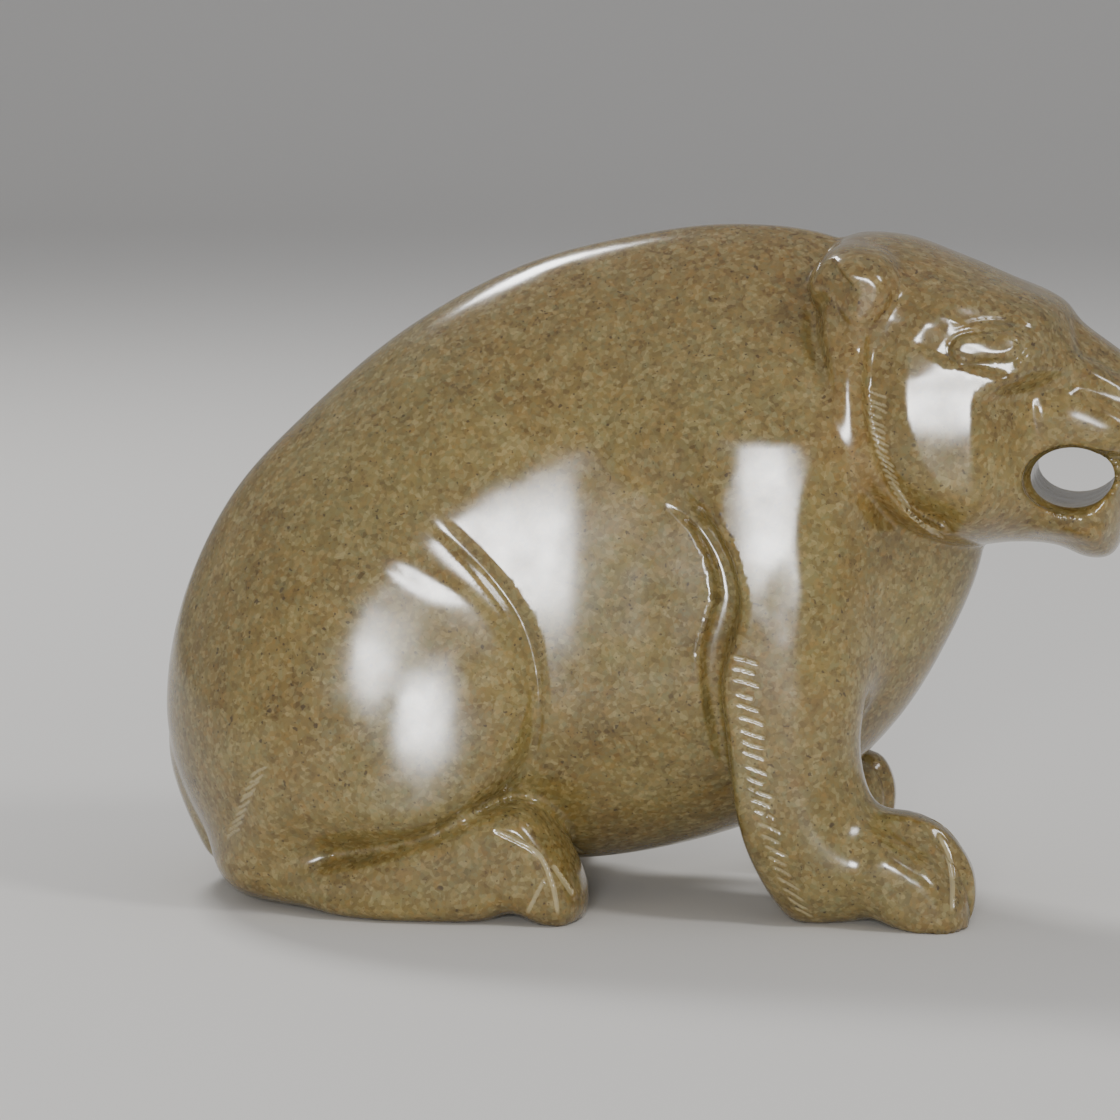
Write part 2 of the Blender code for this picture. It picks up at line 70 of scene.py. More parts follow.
# The longest edges that the skin wants, from plain stone to the strokes of hair.
SKIN_STEP = 0.62
HEAD_STEP = 0.36
CREASE_STEP = 0.3
EYE_STEP = 0.18
HAIR_STEP = 0.12
HEAD_CORNER = (10.4, 28.0)  # the head lies in front of this place and above it
CREASE_FLANK = 8.0  # how far from the middle plane the creases start, and below it the eyes
EYE_FLANK = 4.0
TOO_LONG = 1.5  # an edge this many times as long as the skin wants is halved
FIRST_SHARES = (0.5, 0.4)  # how far the plain skin is evened out, each time that it is drawn onto the forms
FINER_SHARES = (0.35, 0.3, 0.2, 0.0)  # the same after each time that it is made finer
MOST_TRIANGLES = 198_000

Array = np.ndarray
Socket = bpy.types.NodeSocket
Points = Sequence[tuple[float, float]]
Field = Callable[[Array, Array, Array], Array]


class Cut(Enum):
    """The cross-section of a stroke."""

    BELL = "soft on both sides"
    SCOOP = "a hollow or a fillet with crisp edges"
    LEDGE = "a crisp step at the curve, which dies out to the left of its run"
    SHELF = "a crisp step at the curve, with an even floor to the left of its run"


class Flank(Enum):
    """The sides of the bear that a stroke is cut on."""

    BOTH = "both"
    RIGHT = "the side towards -Y"


STEPPED = (Cut.LEDGE, Cut.SHELF)


def ramp(value: Array, start: float, end: float) -> Array:
    """A smooth step.

    Args:
        value: Where it is read.
        start: It is 0 up to here.
        end: It is 1 from here.

    Returns:
        The step's height at each value.
    """
    t = np.clip((value - start) / (end - start), 0, 1)
    return t * t * (3 - 2 * t)


def through(points: Points, closed: bool, steps: int = CURVE_STEPS) -> Array:
    """A smooth curve through points.

    Args:
        points: The points in the side view.
        closed: Whether the curve returns to its start.
        steps: Points in each span between two of its own.

    Returns:
        The curve as a polyline.
    """
    p = np.array(points, float)
    count = len(p)
    at = np.arange(count if closed else count - 1)
    if closed:
        index = [(at + shift) % count for shift in (-1, 0, 1, 2)]
    else:
        index = [np.clip(at + shift, 0, count - 1) for shift in (-1, 0, 1, 2)]
    before, start, end, after = (p[i][:, None, :] for i in index)
    t = (np.arange(steps) / steps)[None, :, None]
    curve = 0.5 * (
        2 * start
        + (end - before) * t
        + (2 * before - 5 * start + 4 * end - after) * t**2
        + (3 * start - before - 3 * end + after) * t**3
    )
    curve = curve.reshape(-1, p.shape[1])
    return curve if closed else np.vstack([curve, p[-1]])


def distance_to(curve: Array, x: Array, z: Array, closed: bool = False) -> tuple[Array, Array]:
    """The distance of places in the side view to a polyline.

    Args:
        curve: The polyline.
        x: The places' x.
        z: The places' z.
        closed: Whether the polyline's end joins its start.

    Returns:
        The distances, and how far along the polyline the nearest place is, from 0 to 1.
    """
    nearest = np.full(x.shape, np.inf)
    along = np.zeros(x.shape)
    ends = np.roll(curve, -1, axis=0) if closed else curve[1:]
    starts = curve if closed else curve[:-1]
    for i, (a, b) in enumerate(zip(starts, ends)):
        run = b - a
        t = np.clip(((x - a[0]) * run[0] + (z - a[1]) * run[1]) / max(run @ run, 1e-12), 0, 1)
        gap = np.hypot(x - a[0] - t * run[0], z - a[1] - t * run[1])
        closer = gap < nearest
        nearest = np.where(closer, gap, nearest)
        along = np.where(closer, (i + t) / len(starts), along)
    return nearest, along


def left_of(curve: Array, x: Array, z: Array) -> Array:
    """Whether each place lies to the left of the nearest stretch of a polyline, as 1 or -1."""
    nearest = np.full(x.shape, np.inf)
    left = np.ones(x.shape)
    for a, b in zip(curve[:-1], curve[1:]):
        run = b - a
        t = np.clip(((x - a[0]) * run[0] + (z - a[1]) * run[1]) / max(run @ run, 1e-12), 0, 1)
        gap = np.hypot(x - a[0] - t * run[0], z - a[1] - t * run[1])
        turn = run[0] * (z - a[1]) - run[1] * (x - a[0])
        closer = gap < nearest - 1e-9
        nearest = np.where(closer, gap, nearest)
        left = np.where(closer, np.where(turn > 0, 1.0, -1.0), left)
    return left


def is_inside(curve: Array, x: Array, z: Array) -> Array:
    """Whether each place lies inside a closed polyline."""
    inside = np.zeros(x.shape, bool)
    for a, b in zip(curve, np.roll(curve, -1, axis=0)):
        if a[1] == b[1]:
            continue
        crosses = (a[1] > z) != (b[1] > z)
        inside ^= crosses & (x < (b[0] - a[0]) * (z - a[1]) / (b[1] - a[1]) + a[0])
    return inside


def blurred(grid: Array, passes: int) -> Array:
    """The grid after passes of a small blur, each of which spreads it by 0.7 of a cell."""
    for _ in range(passes):
        for axis in (0, 1):
            wide = np.concatenate([np.take(grid, [0], axis), grid, np.take(grid, [-1], axis)], axis)
            size = grid.shape[axis]
            parts = [np.take(wide, np.arange(k, k + size), axis) for k in range(3)]
            grid = (parts[0] + 2 * parts[1] + parts[2]) / 4
    return grid


class Outline:
    """A closed curve in the side view, with the distance to it on a lattice, negative inside."""

    def __init__(self, points: Points, soften: float = 0.0) -> None:
        """Measures the lattice.

        Args:
            points: The curve's own points.
            soften: How far the distance is blurred, in units.
        """
        curve = through(points, closed=True)
        self.low = curve.min(axis=0) - LATTICE_MARGIN
        cells = np.ceil((curve.max(axis=0) + LATTICE_MARGIN - self.low) / LATTICE_STEP).astype(int) + 1
        axes = [self.low[k] + LATTICE_STEP * np.arange(cells[k]) for k in (0, 1)]
        x, z = np.meshgrid(*axes, indexing="ij")
        gap, _ = distance_to(curve, x, z, closed=True)
        signed = np.where(is_inside(curve, x, z), -gap, gap)
        self.lattice = blurred(signed, round(2 * (soften / LATTICE_STEP) ** 2))

    def distance(self, x: Array, z: Array) -> Array:
        """The signed distance at each place, smooth between the lattice's own."""
        shape = np.array(self.lattice.shape)
        total = np.zeros(x.shape)
        cell, weights = [], []
        for k, value in enumerate((x, z)):
            place = np.clip((value - self.low[k]) / LATTICE_STEP, 1.001, shape[k] - 2.001)
            whole = np.floor(place).astype(int)
            t = place - whole
            cell.append(whole)
            weights.append(((1 - t) ** 3, 3 * t**3 - 6 * t**2 + 4, -3 * t**3 + 3 * t**2 + 3 * t + 1, t**3))
        for i in range(4):
            for j in range(4):
                value = self.lattice[cell[0] + i - 1, cell[1] + j - 1]
                total += weights[0][i] * weights[1][j] * value / 36
        return total


class Profile:
    """A width that changes smoothly along the bear, from values at a few stations."""

    def __init__(self, stations: Sequence[float], values: Sequence[float], soften: float = 3.0) -> None:
        """Prepares the values.

        Args:
            stations: Places along the bear.
            values: The width at each.
            soften: The length over which it is smoothed.
        """
        self.fine = np.arange(stations[0] - 8.0, stations[-1] + 8.0, 0.25)
        width = int(soften / 0.25) | 1
        window = np.hanning(width + 2)[1:-1]
        padded = np.pad(np.interp(self.fine, stations, values), width // 2, mode="edge")
        self.values = np.convolve(padded, window / window.sum(), mode="valid")

    def at(self, x: Array) -> Array:
        """The width at each place along the bear."""
        return np.interp(x, self.fine, self.values)


@dataclass(frozen=True)
class Stroke:
    """A ridge, a furrow or a step along an open curve in the side view.

    Attributes:
        points: The curve's own points.
        width: Half its width.
        height: How far it lifts the surface, negative where it cuts into it.
        cut: Its cross-section.
        fade: The share of its length over which each end dies out.
        flank: The side of the bear that it is on.
    """

    points: Points
    width: float
    height: float
    cut: Cut = Cut.BELL
    fade: float = 0.0
    flank: Flank = Flank.BOTH

    def section(self, gap: Array, left: Array | float = 1.0) -> Array:
        """The cross-section's height.

        Args:
            gap: The distance from the middle line.
            left: Whether the place is to its left, as 1 or -1.

        Returns:
            The height at each place, from 0 to 1.
        """
        t = np.clip(gap / self.width, 0, 1)
        height = (1 - t * t) ** 2 if self.cut in (Cut.BELL, Cut.LEDGE) else 1 - t**4
        return height * ramp(gap * left, *STEP_EDGE) if self.cut in STEPPED else height

    def rise(self, x: Array, y: Array, z: Array) -> Array:
        """How far the stroke lifts the surface at each place."""
        curve = through(self.points, closed=False)
        low, high = curve.min(axis=0) - self.width, curve.max(axis=0) + self.width
        near = (x > low[0]) & (x < high[0]) & (z > low[1]) & (z < high[1])
        if self.flank is Flank.RIGHT:
            near &= y < 0
        lift = np.zeros(x.shape)
        gap, along = distance_to(curve, x[near], z[near])
        left = left_of(curve, x[near], z[near]) if self.cut in STEPPED else 1.0
        section = self.section(gap, left)
        if self.fade:
            section = section * ramp(np.minimum(along, 1 - along), 0, self.fade)
        lift[near] = self.height * section
        return lift


@dataclass(frozen=True)
class Hatch:
    """A row of short hair strokes along a guide curve, as a cutting wheel leaves them.

    Attributes:
        guide: The curve that the strokes start on.
        count: How many there are.
        reach: Each stroke's run from the guide, at the guide's start and at its end.
        width: Half a stroke's width.
        depth: A stroke's depth.
        stray: How far a stroke strays from its place, as a share of the space between two.
        lengths: The shortest and the longest stroke, as shares of the reach.
        bend: How far a stroke bows out, as a share of its length.
    """

    guide: Points
    count: int
    reach: tuple[tuple[float, float], tuple[float, float]]
    width: float = 0.15
    depth: float = 0.13
    stray: float = 0.12
    lengths: tuple[float, float] = (0.85, 1.12)
    bend: float = 0.06

    def strokes(self, rng: np.random.Generator) -> list[Stroke]:
        """The row's strokes.

        Args:
            rng: Where their small irregularities come from.

        Returns:
            One stroke for each hair.
        """
        curve = through(self.guide, closed=False, steps=12)
        lengths = np.concatenate([[0], np.cumsum(np.hypot(*np.diff(curve, axis=0).T))])
        made = []
        for k in range(self.count):
            share = (k + 0.5 + rng.uniform(-self.stray, self.stray)) / self.count
            start = np.array([np.interp(share * lengths[-1], lengths, curve[:, i]) for i in (0, 1)])
            run = np.array(self.reach[0]) * (1 - share) + np.array(self.reach[1]) * share
            run = run * rng.uniform(*self.lengths)
            bend = np.array([-run[1], run[0]]) * rng.uniform(-self.bend, self.bend)
            points = [tuple(start), tuple(start + run / 2 + bend), tuple(start + run)]
            made.append(Stroke(points, self.width, -self.depth, Cut.BELL, 0.25))
        return made


def swelled(side: Array, across: Array, half_width: Array | float, rim: Array | float) -> Array:
    """The field of a form that is an outline swelled to a width.

    Args:
        side: The distance to its outline, negative inside.
        across: The distance to its middle plane.
        half_width: Half its width.
        rim: How far in from its outline its edge is rounded.

    Returns:
        About the distance to its surface, negative inside.
    """
    edge = 1 - np.minimum(-side / rim, 1)
    flank = np.abs(across) / half_width
    level = np.hypot(edge, flank) + 1e-9
    return (level - 1) * level / (np.hypot(edge / rim, flank / half_width) + 1e-9)


def joined(a: Array, b: Array, blend: Array | float) -> Array:
    """Two fields run into each other, over the distance blend."""
    h = np.clip(0.5 + 0.5 * (b - a) / blend, 0, 1)
    return b + (a - b) * h - blend * h * (1 - h)


TORSO = [
    (-38.2, 3.8), (-41.6, 10.0), (-42.4, 16.0), (-40.5, 24.2), (-36.4, 33.0), (-31.5, 39.3), (-23.8, 46.0),
    (-13.2, 51.8), (-0.8, 54.7), (5.0, 55.0), (11.0, 54.4), (17.0, 51.4), (22.0, 44.0), (24.3, 35.0),
    (24.2, 28.6), (22.3, 23.3), (17.2, 14.4), (9.0, 7.4), (-4.0, 3.2), (-16.0, 2.4), (-28.0, 2.4),
]
HEAD = [
    (12.2, 53.7), (17.1, 54.3), (22.0, 52.7), (26.8, 50.7), (30.4, 49.1), (31.9, 47.3), (34.9, 45.1),
    (37.4, 43.1), (39.2, 40.8), (39.5, 38.4), (38.4, 36.6), (36.0, 35.6), (35.8, 32.0), (34.8, 28.7),
    (32.6, 28.3), (30.0, 29.3), (26.4, 29.5), (21.8, 29.1), (17.4, 30.4), (14.2, 34.0), (12.0, 38.6),
    (11.2, 44.0), (10.8, 48.5),
]
ARM = [
    (14.6, 44.2), (17.0, 38.6), (15.6, 32.4), (15.9, 26.4), (15.6, 19.0), (15.1, 13.6), (16.4, 9.4),
    (19.6, 8.6), (22.2, 7.2), (24.2, 4.2), (24.3, 1.0), (23.0, -0.7), (20.8, -0.3), (18.4, 0.6), (14.6, -0.1),
    (10.6, -0.4), (8.4, 1.4), (6.6, 4.8), (5.3, 9.0), (4.6, 14.6), (4.1, 20.0), (5.4, 25.2), (4.9, 28.8),
    (3.2, 32.0), (0.2, 34.6), (-3.4, 37.6), (-3.0, 41.6), (4.0, 44.8),
]
FAR_ARM = [
    (14.0, 44.0), (16.0, 37.4), (14.6, 28.0), (13.0, 18.0), (12.0, 12.4), (13.4, 10.4), (15.2, 9.6),
    (16.3, 7.0), (15.9, 3.6), (14.9, 0.2), (13.4, -0.6), (10.6, 0.2), (8.4, -0.4), (6.8, 1.4), (5.8, 5.4),
    (4.6, 11.0), (3.8, 18.0), (4.8, 24.8), (4.2, 29.0), (0.8, 33.6), (-3.4, 37.6), (-3.0, 41.6), (4.0, 44.8),
]
HAUNCH = [
    (-20.4, 34.4), (-16.2, 30.8), (-12.4, 27.2), (-9.7, 23.0), (-8.6, 18.6), (-9.4, 13.8), (-12.0, 9.6),
    (-17.0, 6.2), (-24.0, 3.6), (-31.0, 1.4), (-36.2, 2.0), (-38.0, 6.0), (-41.0, 14.0), (-40.0, 24.0),
    (-35.0, 33.0), (-27.0, 37.0),
]
HIND_FOOT = [
    (-30.0, 4.6), (-24.0, 5.6), (-18.6, 7.6), (-14.6, 9.3), (-11.2, 9.6), (-8.9, 7.4), (-7.2, 4.4),
    (-6.5, 1.4), (-7.6, -0.7), (-10.0, -0.5), (-12.4, 0.5), (-15.4, -0.4), (-24.0, -0.5), (-30.0, 0.2),
    (-35.0, 1.2), (-36.6, 3.2), (-34.6, 5.0),
]
TAIL = [
    (-41.8, 16.2), (-43.1, 13.6), (-43.3, 10.2), (-42.0, 6.0), (-39.9, 2.0), (-38.4, 2.2), (-38.0, 5.0),
    (-38.6, 11.0), (-39.6, 15.6),
]
EAR = [
    (10.6, 49.4), (10.5, 51.4), (12.0, 53.4), (14.4, 53.9), (17.0, 53.2), (18.4, 51.4), (18.2, 49.0),
    (16.6, 46.8), (14.0, 45.6), (12.2, 47.0),
]

# Half widths, each with how far its edge is rounded, and what sets a form's place across the bear.
TORSO_WIDTH = Profile(
    (-44, -34, -24, -16, -8, 0, 6, 12, 18, 25),
    (14.6, 16.6, 17.2, 16.4, 15.3, 15.4, 15.6, 14.6, 12.2, 10.2),
    8.0,
)
TORSO_RIM = 15.5
TORSO_HEIGHT = 15.0  # the height of the trunk's widest place
TORSO_CURVE = 0.00026  # how fast the trunk narrows up and down from there
TORSO_LEAN = 0.05  # how much wider the trunk is low down than at half its height, as a share
TORSO_MIDDLE = (28.0, 24.0)  # half its height, and how far from there the lean is full
HAUNCH_INSET = 5.0  # a haunch's outline is swelled from this far off the middle plane
HAUNCH_WIDTH = 15.1
HAUNCH_CENTRE = (-24.0, 4.1)  # the haunch's widest place in the side view
HAUNCH_CURVE = (0.013, 0.007)  # how fast it narrows from there, lengthways and upwards
HAUNCH_RIM = 3.4
HAUNCH_SOFT = ((18, 34), (25, 37))  # backwards, as -x, and upwards: its edge is lost between these
HEAD_WIDTH = Profile(
    (11, 14, 17.5, 21, 24.5, 26.5, 28.5, 31, 36, 40),
    (13.1, 13.2, 13.2, 13.1, 13.0, 10.8, 8.9, 8.3, 8.0, 7.7),
    2.0,
)
HEAD_RIM = Profile((11, 14, 17, 20, 26, 31, 40), (1.6, 2.2, 4.6, 5.4, 5.4, 4.4, 3.8))
CHEEK_HEIGHT = 36.0  # the height of the cheek's widest place
CHEEK_REACH = 6.0  # how far up from there the head narrows faster and faster
CHEEK_CURVE = 0.011
BROW_HEIGHTS = (41.8, 44.8)  # between these the head changes from the cheek's shape to the brow's
BROW_REACH = 3.5  # how much further forward the head is wide at the eyes than at the cheeks
TEMPLE_HEIGHT = 43.6  # behind the eye the head narrows faster still above this height
TEMPLE_RUN = (-21.5, -18.0)  # from here backwards, as -x
TEMPLE_SLOPE = 0.09
EAR_MIDDLE = 6.6
EAR_WIDTH = 6.0
EAR_RIM = 2.3
FAR_EAR_DROP = 1.0
LEG_MIDDLE = 11.2
LEG_WIDTH = 5.9
LEG_LEAN = 0.0055  # how fast a front leg leans in above the elbow
LEG_TURN = 0.01  # how fast its outer face turns forwards
PAW_TIPS = (24.2, 16.2)  # how far forward the right paw and the left paw reach
PAW_HEIGHTS = (-14.0, -10.0)  # a paw's top, as -z: the leg changes to the paw between these
TOE_FURROWS = (9.3, 13.0)
TOE_FURROW_WIDTH = 0.8
TOE_FURROW_DEPTH = 0.9
OUTER_TOE_DROP = 1.7  # how much lower the outer toe of a front paw is than the others
FOOT_SPLAY = Profile((-36, -31, -27, -22, -8), (8.4, 10.6, 12.9, 13.8, 13.8))
FOOT_WIDTH = 5.0
FOOT_RIM = 1.9
FAR_FOOT_BACK = 4.5
TAIL_WIDTH = 4.6
TAIL_RIM = 2.0
MOUTH_HOLE = ((31.5, 35.3), (3.3, 2.4))

# How far from the middle plane a cut starts and is full, on each form.
TRUNK_FLANK = (6.0, 11.0)
HEAD_FLANK = (1.5, 5.0)
EAR_FLANK = (8.0, 11.0)
HAIR_FLANK = (5.0, 7.0)
LIPS_FLANK = (6.0, 7.6)

# The channel behind the front leg, the crease round the haunch and the hind leg's fold.
BODY_STROKES = [
    Stroke([(-0.4, 34.8), (2.2, 32.8), (4.1, 29.8), (4.8, 27.0), (4.5, 24.8), (3.8, 22.2), (3.8, 19.4),
            (4.3, 16.0), (5.0, 12.6)], 1.1, -0.8, Cut.SCOOP, 0.18),
    Stroke([(-19.6, 33.0), (-14.6, 28.2), (-11.5, 23.8), (-10.4, 18.8), (-11.0, 13.8), (-13.2, 10.4)],
           1.0, -0.5, Cut.BELL, 0.25),
    Stroke([(-30.6, 16.6), (-33.0, 11.6), (-36.4, 5.6)], 1.3, -0.4, Cut.BELL, 0.3),
]
# From the ruff to the lips: each is the curve, its half width, its height, its cross-section and its fade.
FACE_STROKES = [
    Stroke([(15.6, 48.4), (15.5, 45.0), (15.4, 42.5), (15.7, 39.8), (16.6, 37.0), (18.0, 34.4), (20.0, 32.4),
            (22.6, 31.2)], 3.2, -0.9, Cut.LEDGE, 0.1),
    Stroke([(14.2, 46.4), (13.9, 43.0), (14.4, 39.4), (16.0, 35.6), (18.6, 32.6), (22.0, 30.8)],
           1.5, 0.4, Cut.BELL, 0.12),
    Stroke([(19.0, 46.6), (20.7, 45.6), (22.6, 44.9), (24.9, 44.4), (27.2, 43.7), (30.8, 43.4)],
           3.0, -0.5, Cut.SHELF, 0.25),
    Stroke([(20.0, 49.6), (24.6, 49.8), (28.6, 48.8), (30.4, 47.2)], 1.6, 0.35, Cut.BELL, 0.2),
    Stroke([(31.4, 48.6), (31.5, 46.8), (31.9, 45.3), (33.5, 44.4), (35.3, 43.3), (38.4, 41.4)],
           1.6, -0.5, Cut.LEDGE, 0.06),
    Stroke([(31.0, 43.2), (34.0, 42.0), (37.6, 40.0)], 1.3, -0.45, Cut.BELL, 0.2),
    Stroke([(28.4, 40.6), (30.6, 40.8), (33.0, 40.0), (35.6, 38.7), (38.6, 37.7)], 2.4, 0.35, Cut.BELL, 0.12),
    Stroke([(27.4, 44.0), (27.2, 41.0), (27.6, 37.6), (29.0, 35.0)], 1.8, -0.35, Cut.BELL, 0.3),
    Stroke([(33.6, 37.2), (36.4, 36.6), (40.6, 36.0)], 0.7, -1.3),
    Stroke([(27.6, 31.5), (31.6, 31.1), (34.6, 30.7)], 1.2, 0.3, Cut.BELL, 0.2),
]
EAR_BOWL = Stroke(
    [(13.4, 44.6), (12.9, 47.0), (12.6, 49.2), (12.9, 50.8), (13.8, 51.8)], 2.0, -1.1, Cut.BELL, 0.1
)
NECK_GROOVE = Stroke(
    [(11.6, 46.6), (11.6, 43.4), (12.1, 40.8), (13.1, 38.2), (14.6, 35.4), (16.8, 32.6)], 1.3, -0.5
)

# Finer lines of the face: the eyeball, the upper lid with its fold, the lower lid and the tear duct.
FACE_LINES = [
    Stroke([(23.2, 45.9), (24.3, 46.1), (25.5, 46.2), (26.6, 46.3)], 1.2, 0.5, Cut.SCOOP),
    Stroke([(21.7, 45.9), (22.7, 47.0), (25.0, 47.4), (27.2, 47.2), (28.6, 46.4)], 0.3, -0.1, Cut.BELL, 0.15),
    Stroke([(22.0, 47.5), (24.4, 48.1), (27.2, 47.9), (29.2, 46.9)], 0.3, -0.12, Cut.BELL, 0.25),
    Stroke([(21.5, 45.9), (24.0, 45.15), (25.8, 45.25), (27.4, 45.9), (28.8, 46.4)],
           0.3, -0.08, Cut.BELL, 0.12),
    Stroke([(27.6, 45.0), (28.4, 45.6), (29.4, 46.0)], 0.5, 0.25),
]
# The claws' lines, on the hind feet and on the right front paw.
CLAW_LINES = [
    Stroke([(-13.4, 7.9), (-11.8, 7.2), (-9.8, 6.0), (-8.6, 3.4), (-8.2, 0.9)], 0.22, -0.2, Cut.BELL, 0.15),
    Stroke([(-10.8, 1.0), (-10.0, 2.6), (-9.2, 4.2)], 0.2, -0.18, Cut.BELL, 0.2),
    Stroke([(-8.8, 5.2), (-7.9, 3.8), (-7.1, 2.4)], 0.2, -0.18, Cut.BELL, 0.2),
    Stroke([(21.4, 7.4), (22.3, 5.8), (22.8, 3.8), (22.9, 1.6)], 0.22, -0.18, Cut.BELL, 0.2, Flank.RIGHT),
]
# The rows of hair on the front leg's rear edge, inside the ruff and on the rump.
HATCHES = [
    Hatch([(5.2, 22.4), (5.7, 18.3), (6.4, 13.1), (7.4, 8.7), (8.8, 4.3), (10.4, 1.2)],
          23, ((2.1, -0.5), (1.9, -1.1))),
    Hatch([(15.6, 42.8), (15.6, 40.2), (16.3, 37.6), (17.4, 35.0), (19.0, 32.9), (20.8, 31.6)],
          25, ((1.6, -0.5), (1.0, -1.4))),
    Hatch([(-31.4, 12.8), (-33.4, 9.4), (-34.6, 6.6)], 10, ((-1.6, -1.0), (-1.6, -1.2))),
]
HAIR_SEED = 7
HAIR_LAYER = "hair_cut"  # the mesh attribute with how deep each place is cut


@dataclass
class Trunk:
    """The trunk with its haunches.

    Attributes:
        torso: The trunk's outline.
        haunch: The haunches' outline.
    """

    torso: Outline = field(default_factory=lambda: Outline(TORSO, 2.2))
    haunch: Outline = field(default_factory=lambda: Outline(HAUNCH, 0.6))

    def level(self, x: Array, y: Array, z: Array) -> Array:
        """The trunk's field at each place."""
        across = np.abs(y)
        half, full = TORSO_MIDDLE
        lean = 1 + TORSO_LEAN * np.clip((half - z) / full, -1, 1)
        lean = lean - TORSO_CURVE * (z - TORSO_HEIGHT) ** 2
        trunk = swelled(self.torso.distance(x, z), across, TORSO_WIDTH.at(x) * lean, TORSO_RIM)
        grooves = sum(stroke.rise(x, y, z) for stroke in [*BODY_STROKES, NECK_GROOVE])
        trunk = trunk - ramp(across, *TRUNK_FLANK) * grooves
        (cx, cz), (lengthways, upwards) = HAUNCH_CENTRE, HAUNCH_CURVE
        dome = HAUNCH_WIDTH - lengthways * (x - cx) ** 2 - upwards * (z - cz) ** 2
        backwards, up = HAUNCH_SOFT
        soft = np.maximum(ramp(-x, *backwards), ramp(z, *up))
        side = self.haunch.distance(x, z)
        thigh = swelled(side, across - HAUNCH_INSET, np.maximum(dome, 5.0), HAUNCH_RIM + 9.0 * soft)
        return joined(trunk, thigh, 0.7 + 5.0 * soft)


@dataclass
class Skull:
    """The head without its ears.

    Attributes:
        outline: The head's outline.
        lines: The forms and lines of the face.
    """

    outline: Outline = field(default_factory=lambda: Outline(HEAD, 0.4))
    lines: list[Stroke] = field(default_factory=lambda: [*FACE_STROKES, *FACE_LINES])

    def level(self, x: Array, y: Array, z: Array) -> Array:
        """The head's field at each place."""
        across = np.abs(y)
        high = np.maximum(z - CHEEK_HEIGHT - CHEEK_REACH, 0)
        curved = np.clip(z - CHEEK_HEIGHT, -8, CHEEK_REACH) ** 2 + 2 * CHEEK_REACH * high
        width = HEAD_WIDTH.at(x - BROW_REACH * ramp(z, *BROW_HEIGHTS)) - CHEEK_CURVE * curved
        width = width - TEMPLE_SLOPE * np.maximum(z - TEMPLE_HEIGHT, 0) * ramp(-x, *TEMPLE_RUN)
        head = swelled(self.outline.distance(x, z), across, width, HEAD_RIM.at(x))
        return head - ramp(across, *HEAD_FLANK) * sum(stroke.rise(x, y, z) for stroke in self.lines)


@dataclass
class Ears:
    """The two round ears, whose rims roll over a bowl.

    Attributes:
        outline: An ear's outline.
    """

    outline: Outline = field(default_factory=lambda: Outline(EAR, 0.3))

    def level(self, x: Array, y: Array, z: Array) -> Array:
        """The ears' field at each place."""
        across = np.abs(y)
        side = self.outline.distance(x, z + np.where(y < 0, 0.0, FAR_EAR_DROP))
        ear = swelled(side, across - EAR_MIDDLE, EAR_WIDTH, EAR_RIM)
        return ear - ramp(across, *EAR_FLANK) * EAR_BOWL.rise(x, y, z)


@dataclass
class FrontLegs:
    """The front legs, with furrowed paws: the left one stands further back.

    Attributes:
        right: The right leg's outline.
        left: The left leg's outline.
    """

    right: Outline = field(default_factory=lambda: Outline(ARM, 0.35))
    left: Outline = field(default_factory=lambda: Outline(FAR_ARM, 0.35))

    def level(self, x: Array, y: Array, z: Array) -> Array:
        """The front legs' field at each place. Their tops sink into the shoulders."""
        across = np.abs(y)
        near = y < 0
        tip = np.where(near, *PAW_TIPS)
        low = ramp(-z, *PAW_HEIGHTS)
        drop = OUTER_TOE_DROP * ramp(across, 12.6, 14.6) * ramp(x, tip - 9.0, tip - 4.0) * low
        side = np.where(near, self.right.distance(x, z + drop), self.left.distance(x, z + drop))
        turned = LEG_TURN * np.clip(x - 5, 0, 12) ** 2 * ramp(z, 14, 24)
        middle = LEG_MIDDLE - LEG_LEAN * np.clip(z - 18, 0, 30) ** 2 - turned
        gaps = [(across - place) / TOE_FURROW_WIDTH for place in TOE_FURROWS]
        furrows = sum(np.clip(1 - gap**2, 0, 1) ** 2 for gap in gaps)
        toes = TOE_FURROW_DEPTH * furrows * ramp(x, tip - 5.0, tip - 2.0) * low
        front = np.maximum(ramp(x, 6.0, 10.5), ramp(z, 32, 38))
        rim = 1.0 + 4.4 * front - 2.9 * ramp(x, 15, 18) * low + 2.6 * ramp(z, 36, 42)
        return swelled(side, across - middle, LEG_WIDTH, rim) + toes


@dataclass
class HindFeet:
    """The hind feet: the left one stands further back.

    Attributes:
        outline: A foot's outline.
    """

    outline: Outline = field(default_factory=lambda: Outline(HIND_FOOT, 0.4))

    def level(self, x: Array, y: Array, z: Array) -> Array:
        """The hind feet's field at each place."""
        side = self.outline.distance(x + np.where(y < 0, 0.0, FAR_FOOT_BACK), z)
        return swelled(side, np.abs(y) - FOOT_SPLAY.at(x), FOOT_WIDTH, FOOT_RIM)


